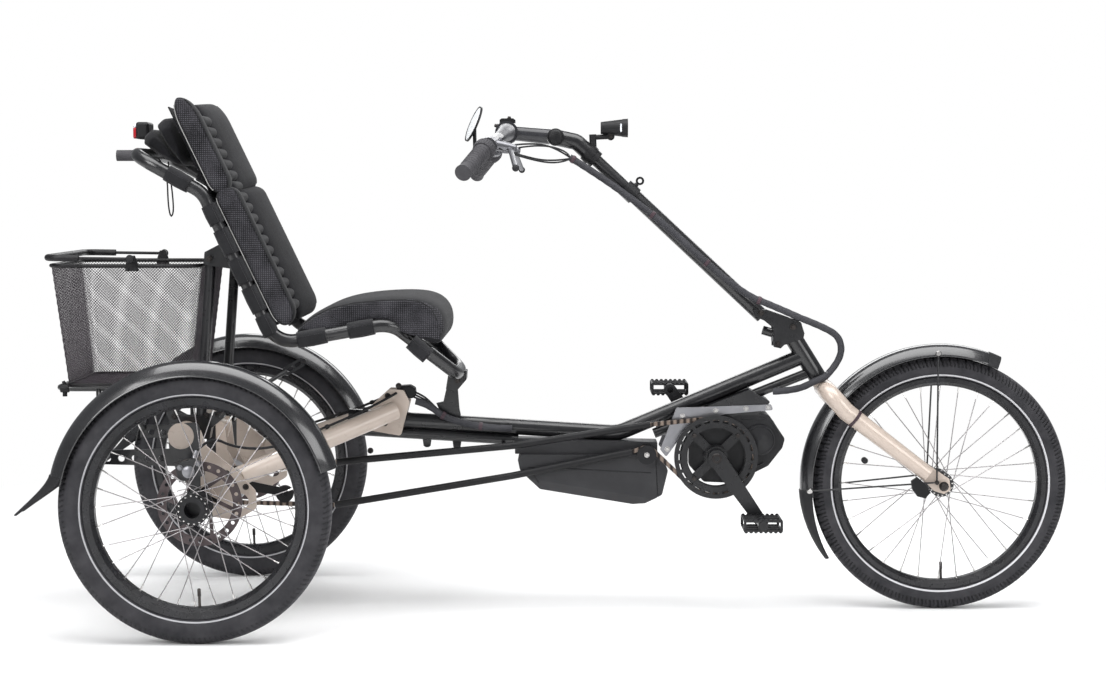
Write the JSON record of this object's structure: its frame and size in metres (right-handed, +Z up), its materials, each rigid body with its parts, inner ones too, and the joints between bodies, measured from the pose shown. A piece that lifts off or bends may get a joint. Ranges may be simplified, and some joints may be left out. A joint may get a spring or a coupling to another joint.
{
  "type": "recumbent tricycle",
  "caption": "Recumbent delta tricycle with electric assist: reclined mesh seat, long steering mast, steered front wheel, driven rear axle, rear basket.",
  "frame": {"origin": "middle of the overall box, on the ground", "axes": "+X forward, +Y to the rider's left, +Z up"},
  "size_m": [2.018, 0.8, 1.0261],
  "materials": {
    "black_paint": "satin black paint",
    "cream_paint": "satin cream paint",
    "tyre_rubber": "matt rubber with pale reflective line",
    "rim_black": "black anodised rim, bright spokes",
    "hub_black": "black anodised",
    "alloy": "satin alloy",
    "motor_case": "matt black case",
    "battery_case": "matt black case",
    "chain_steel": "bronze tinted steel",
    "guide_plastic": "black guide tube",
    "fender_plastic": "satin dark grey",
    "seat_fabric": "charcoal woven fabric",
    "grip_rubber": "ribbed rubber",
    "lever_alloy": "polished levers with black tips",
    "red_lens": "red lens",
    "lamp_case": "black lamp with clear lens",
    "mirror_case": "mirror glass in a black case",
    "basket_mesh": "black wire mesh",
    "cable_sleeve": "braided sleeve"
  },
  "bodies": {
    "frame": {"rear_beam": "black_paint", "front_boom": "black_paint", "rear_frame": "cream_paint", "differential": "alloy", "motor": "motor_case", "motor_plates": "alloy", "battery": "battery_case", "battery_cradle": "battery_case", "chain": "chain_steel", "chain_tubes": "guide_plastic", "chain_idler": "guide_plastic", "rear_fenders": "fender_plastic", "rear_stays": "black_paint", "brake_calipers": "black_paint", "seat_frame": "black_paint", "back_sling": "seat_fabric", "back_pads_lower": "seat_fabric", "back_pads_upper": "seat_fabric", "back_pad_centre": "seat_fabric", "seat_pad": "seat_fabric", "seat_mounts": "black_paint", "head_pouch": "seat_fabric", "pole_socket": "grip_rubber", "rear_lamp": "red_lens", "basket": "basket_mesh", "rack": "black_paint", "loom_rear": "cable_sleeve"},
    "fork": {"fork": "cream_paint", "steerer_head": "black_paint", "front_fender": "fender_plastic", "front_stays": "black_paint", "loom_front": "cable_sleeve", "loom_loop": "cable_sleeve"},
    "front_wheel": {"front_tyre": "tyre_rubber", "front_rim": "rim_black", "front_hub": "hub_black"},
    "mast": {"mast_lower": "black_paint", "mast_upper": "black_paint", "stem": "black_paint", "handlebar": "black_paint", "grips": "grip_rubber", "brake_levers": "lever_alloy", "headlamp": "lamp_case", "mirror": "mirror_case", "loom_mast": "cable_sleeve"},
    "rear_wheel_right": {"rear_right_tyre": "tyre_rubber", "rear_right_rim": "rim_black", "rear_hub_right": "hub_black"},
    "rear_wheel_left": {"rear_left_tyre": "tyre_rubber", "rear_left_rim": "rim_black", "rear_hub_left": "hub_black"},
    "crankset": {"crank": "hub_black", "chainring": "hub_black"},
    "right_pedal": {"pedal_right": "guide_plastic"},
    "left_pedal": {"pedal_left": "guide_plastic"},
    "bail": {"basket_handle": "basket_mesh"}
  },
  "joints": [
    {"name": "steering", "type": "hinge", "parent": "frame", "child": "fork", "pos_m": [0.50999, 0, 0.46601], "axis": [-0.5299, 0, 0.848], "range_deg": [-35, 35], "deforming": ["loom_front"]},
    {"name": "front_wheel_spin", "type": "hinge", "parent": "fork", "child": "front_wheel", "pos_m": [0.755, 0, 0.254], "axis": [0, 1, 0], "continuous": true},
    {"name": "mast_fold", "type": "hinge", "parent": "fork", "child": "mast", "pos_m": [0.45796, 0, 0.56804], "axis": [0, 1, 0], "range_deg": [0, 60], "deforming": ["loom_loop"]},
    {"name": "rear_wheel_right_spin", "type": "hinge", "parent": "frame", "child": "rear_wheel_right", "pos_m": [-0.679, -0.365, 0.254], "axis": [0, 1, 0], "continuous": true},
    {"name": "rear_wheel_left_spin", "type": "hinge", "parent": "frame", "child": "rear_wheel_left", "pos_m": [-0.679, 0.365, 0.254], "axis": [0, 1, 0], "continuous": true},
    {"name": "crank_spin", "type": "hinge", "parent": "frame", "child": "crankset", "pos_m": [0.304, 0, 0.312], "axis": [0, 1, 0], "continuous": true},
    {"name": "pedal_right_spin", "type": "hinge", "parent": "crankset", "child": "right_pedal", "pos_m": [0.38889, -0.1, 0.19076], "axis": [0, 1, 0], "continuous": true},
    {"name": "pedal_left_spin", "type": "hinge", "parent": "crankset", "child": "left_pedal", "pos_m": [0.21911, 0.1, 0.43323], "axis": [0, 1, 0], "continuous": true},
    {"name": "basket_handle_swing", "type": "hinge", "parent": "frame", "child": "bail", "pos_m": [-0.829, 0, 0.708], "axis": [0, 1, 0], "range_deg": [0, 95]}
  ]
}
